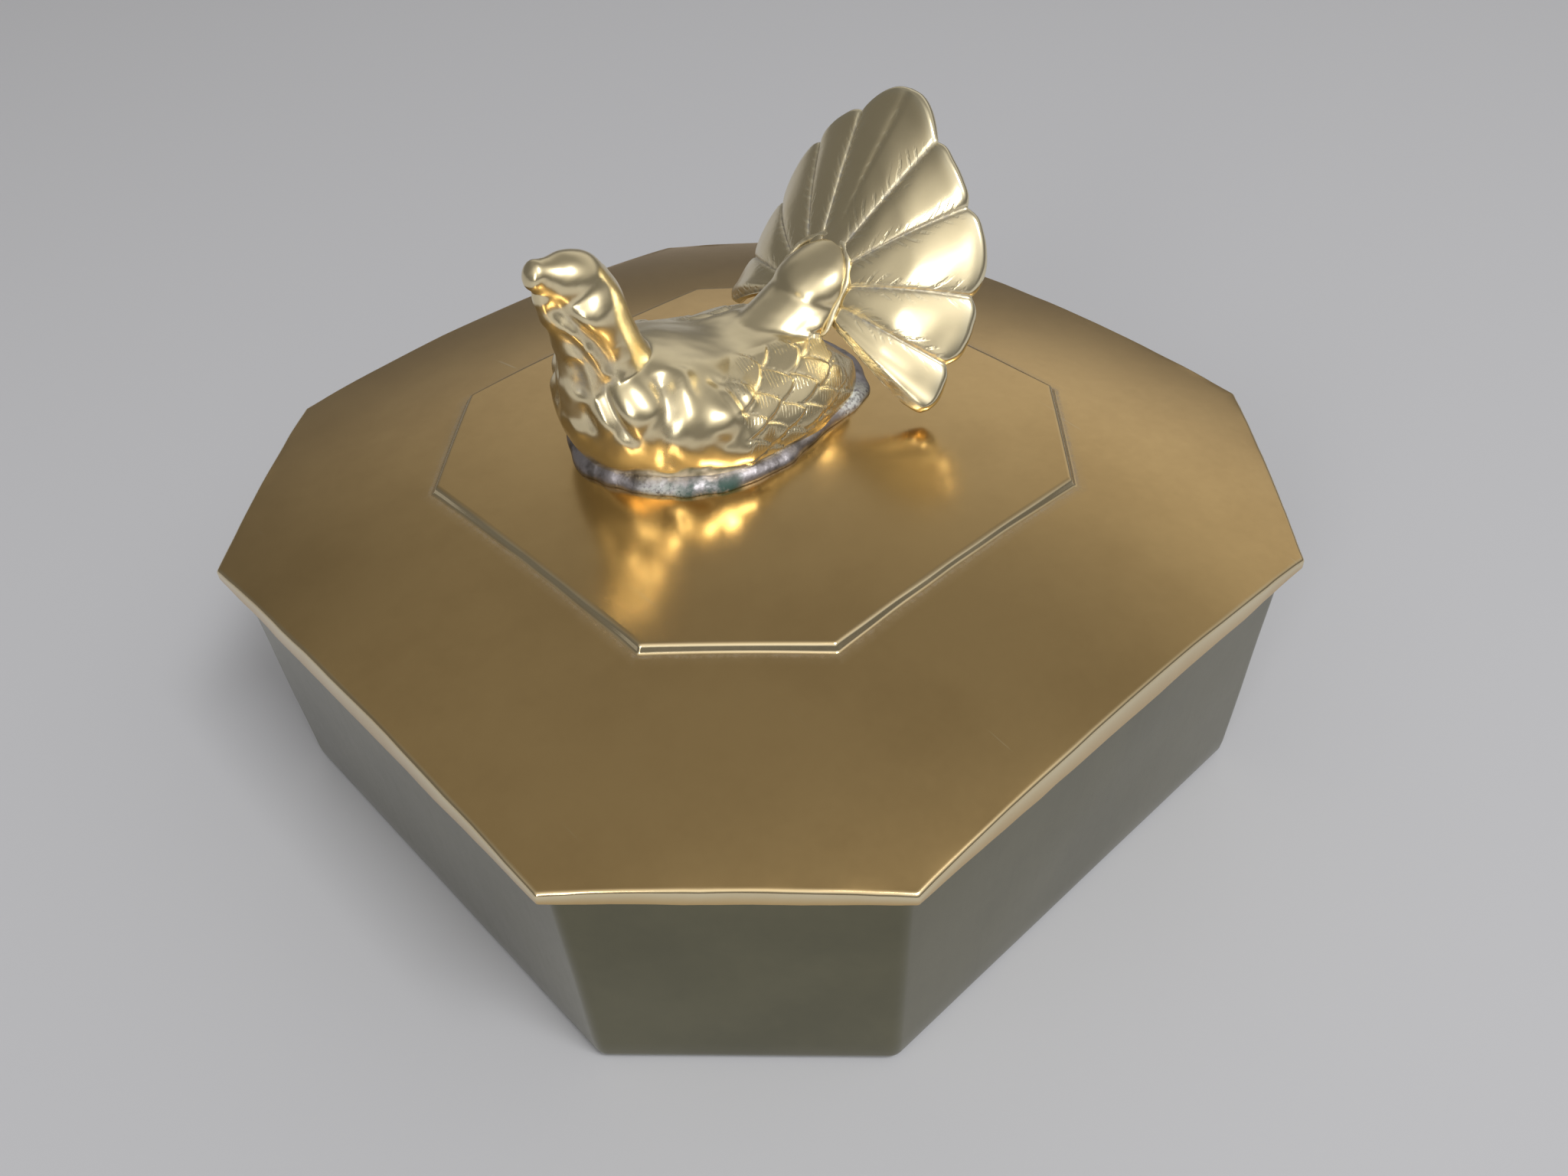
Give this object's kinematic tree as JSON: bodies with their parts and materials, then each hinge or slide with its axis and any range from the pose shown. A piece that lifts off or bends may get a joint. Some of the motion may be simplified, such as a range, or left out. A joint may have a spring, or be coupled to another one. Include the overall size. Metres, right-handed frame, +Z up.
{
  "type": "octagonal lidded box",
  "caption": "Eight-sided cast brass box with a lift-off domed lid and a fan-tailed pigeon soldered on top as its handle.",
  "frame": {"origin": "middle of the tub's underside, on the surface that the box stands on", "axes": "+Z up; +X and +Y square to the lid's long sides; the bird looks towards -X and its tail fan stands at +X"},
  "size_m": [0.18, 0.18, 0.1165],
  "materials": {
    "tub_brass": "polished brass, softly brushed, slightly green-gold",
    "lid_brass": "satin-polished warm brass with fine pits and a few scratches",
    "bird_brass": "highly polished pale gold brass, dull in the grooves",
    "solder": "silver-grey soft solder, lumpy and dull, with a little verdigris"
  },
  "bodies": {
    "base": {"base_tub": "tub_brass"},
    "lid": {"lid_plate": "lid_brass", "lid_lip": "lid_brass", "bird_body": "bird_brass", "tail_fan": "bird_brass", "foot_solder": "solder", "tail_solder": "solder", "lip_solder": "solder"}
  },
  "joints": [
    {"name": "lid_lift", "type": "slide", "parent": "base", "child": "lid", "axis": [0, 0, 1], "range_m": [0, 0.08]}
  ]
}
